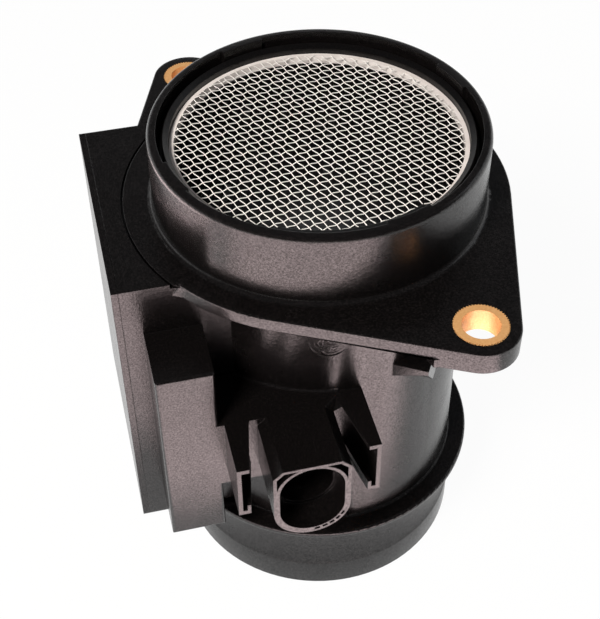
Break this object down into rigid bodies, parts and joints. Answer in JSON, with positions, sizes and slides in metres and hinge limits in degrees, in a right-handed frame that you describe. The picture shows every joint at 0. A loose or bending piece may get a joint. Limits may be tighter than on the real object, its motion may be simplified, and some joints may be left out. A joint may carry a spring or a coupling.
{
  "type": "mass airflow sensor",
  "caption": "Flanged intake air meter: round duct with a wire screen in its inlet collar, side electronics box and guarded plug socket.",
  "frame": {"origin": "on the duct axis at the outlet face, on which the part stands", "axes": "+Z along the duct towards the inlet, -X towards the electronics box, -Y the way the connector opens"},
  "size_m": [0.0961, 0.1208, 0.1236],
  "materials": {
    "housing": "black glass-filled nylon, fine moulded grain",
    "cover": "black glass-filled nylon",
    "retainer": "black nylon, smooth",
    "holder": "black nylon, smooth",
    "insert": "turned brass, knurled outside",
    "screen": "woven stainless steel wire",
    "hoop": "rolled stainless steel strip",
    "seal": "soft black seal",
    "ceramic_plate": "alumina plate",
    "board": "alumina board",
    "base_plate": "rolled aluminium",
    "chip": "moulded black package",
    "capacitor": "ceramic block",
    "contact": "tin-plated brass",
    "wire": "drawn aluminium wire"
  },
  "bodies": {
    "root": {"flow_housing": "housing", "insert_front": "insert", "insert_rear": "insert", "screen_hoop": "hoop", "inlet_screen": "screen", "screen_retainer": "retainer", "electronics_cover": "cover", "cover_seal": "seal", "sensor_holder": "holder", "holder_seal": "seal", "metering_duct": "holder", "hot_film_plate": "ceramic_plate", "reference_plate": "ceramic_plate", "sensor_leads": "contact", "base_plate": "base_plate", "hybrid_board": "board", "signal_chip": "chip", "power_transistor": "chip", "chip_resistors": "chip", "chip_capacitors": "capacitor", "bond_wires": "wire", "terminal_blade_1": "contact", "terminal_blade_2": "contact", "terminal_blade_3": "contact", "terminal_blade_4": "contact", "terminal_blade_5": "contact"}
  },
  "joints": []
}
